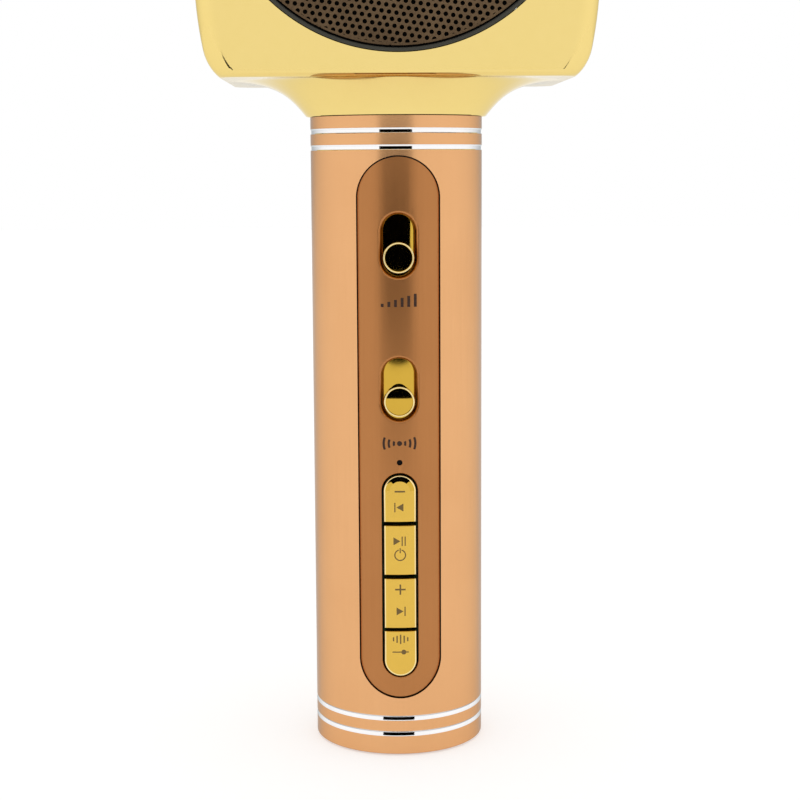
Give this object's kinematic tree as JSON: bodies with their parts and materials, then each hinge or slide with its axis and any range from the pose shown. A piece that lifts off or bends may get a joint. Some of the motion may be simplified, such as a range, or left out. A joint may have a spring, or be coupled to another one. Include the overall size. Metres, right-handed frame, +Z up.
{
  "type": "karaoke microphone",
  "caption": "Upright karaoke microphone: tube handle with sliders and push buttons, gold speaker head with a round grille on both faces, and a mesh capsule basket on top.",
  "frame": {"origin": "centre of the flat base that the handle stands on", "axes": "+Z up the handle, -Y towards the side with the controls, +X to the right seen from that side"},
  "size_m": [0.0838, 0.0564, 0.267],
  "materials": {
    "anodised_tube": "satin rose-gold anodising with bright cut rings",
    "panel_bronze": "satin bronze anodising",
    "gold_plating": "mirror gold plating on moulded plastic",
    "button_gold": "satin gold plating on moulded plastic",
    "basket_wire": "gold-plated steel mesh",
    "dark_trim": "semi-gloss dark grey",
    "grille_brown": "brown metallic lacquer on perforated steel",
    "dark_plastic": "moulded",
    "black_cloth": "fine black cloth",
    "circuit_board": "green solder mask",
    "steel": "nickel-plated",
    "cell_wrap": "blue shrink wrap over the cell",
    "foam": "open-cell foam",
    "rubber": "matt black",
    "light_pipe": "clear"
  },
  "bodies": {
    "body": {"handle_tube": "anodised_tube", "control_panel": "panel_bronze", "status_light_pipe": "light_pipe", "volume_potentiometer": "steel", "echo_potentiometer": "steel", "switch_previous": "steel", "switch_play": "steel", "switch_next": "steel", "switch_tone": "steel", "chassis_front": "dark_plastic", "chassis_rear": "dark_plastic", "main_board": "circuit_board", "battery_cell": "cell_wrap", "board_screw_lower": "steel", "board_screw_upper": "steel", "bottom_cap": "dark_plastic", "port_board": "circuit_board", "charge_socket": "steel", "card_socket": "steel", "audio_socket": "dark_plastic", "cap_screw_front": "steel", "cap_screw_rear": "steel", "head_shell_front": "gold_plating", "head_shell_rear": "gold_plating", "basket_ring": "gold_plating", "mic_basket": "basket_wire", "foam_liner": "foam", "capsule_mount": "rubber", "mic_capsule": "steel", "basket_screw_front": "steel", "basket_screw_rear": "steel", "front_trim_ring": "dark_trim", "front_grille": "grille_brown", "front_dust_cloth": "black_cloth", "front_speaker_frame": "steel", "front_speaker_magnet": "steel", "front_speaker_screw_upper": "steel", "front_speaker_screw_lower": "steel", "rear_trim_ring": "dark_trim", "rear_grille": "grille_brown", "rear_dust_cloth": "black_cloth", "rear_speaker_frame": "steel", "rear_speaker_magnet": "steel", "rear_speaker_screw_upper": "steel", "rear_speaker_screw_lower": "steel"},
    "volume_slider": {"volume_slider_knob": "gold_plating"},
    "echo_slider": {"echo_slider_knob": "gold_plating"},
    "previous_button": {"button_previous": "button_gold"},
    "play_button": {"button_play": "button_gold"},
    "next_button": {"button_next": "button_gold"},
    "tone_button": {"button_tone": "button_gold"},
    "front_cone": {"front_speaker_cone": "dark_plastic"},
    "rear_cone": {"rear_speaker_cone": "dark_plastic"}
  },
  "joints": [
    {"name": "volume_slide", "type": "slide", "parent": "body", "child": "volume_slider", "axis": [0, 0, 1], "range_m": [0, 0.0052]},
    {"name": "echo_slide", "type": "slide", "parent": "body", "child": "echo_slider", "axis": [0, 0, 1], "range_m": [0, 0.0052]},
    {"name": "press_previous", "type": "slide", "parent": "body", "child": "previous_button", "axis": [0, 1, 0], "range_m": [0, 0.0004], "stiffness_N_per_m": 1500},
    {"name": "press_play", "type": "slide", "parent": "body", "child": "play_button", "axis": [0, 1, 0], "range_m": [0, 0.0004], "stiffness_N_per_m": 1500},
    {"name": "press_next", "type": "slide", "parent": "body", "child": "next_button", "axis": [0, 1, 0], "range_m": [0, 0.0004], "stiffness_N_per_m": 1500},
    {"name": "press_tone", "type": "slide", "parent": "body", "child": "tone_button", "axis": [0, 1, 0], "range_m": [0, 0.0004], "stiffness_N_per_m": 1500},
    {"name": "front_cone_travel", "type": "slide", "parent": "body", "child": "front_cone", "axis": [0, -1, 0], "range_m": [-0.0009, 0.0009], "stiffness_N_per_m": 2000},
    {"name": "rear_cone_travel", "type": "slide", "parent": "body", "child": "rear_cone", "axis": [0, 1, 0], "range_m": [-0.0009, 0.0009], "stiffness_N_per_m": 2000}
  ]
}
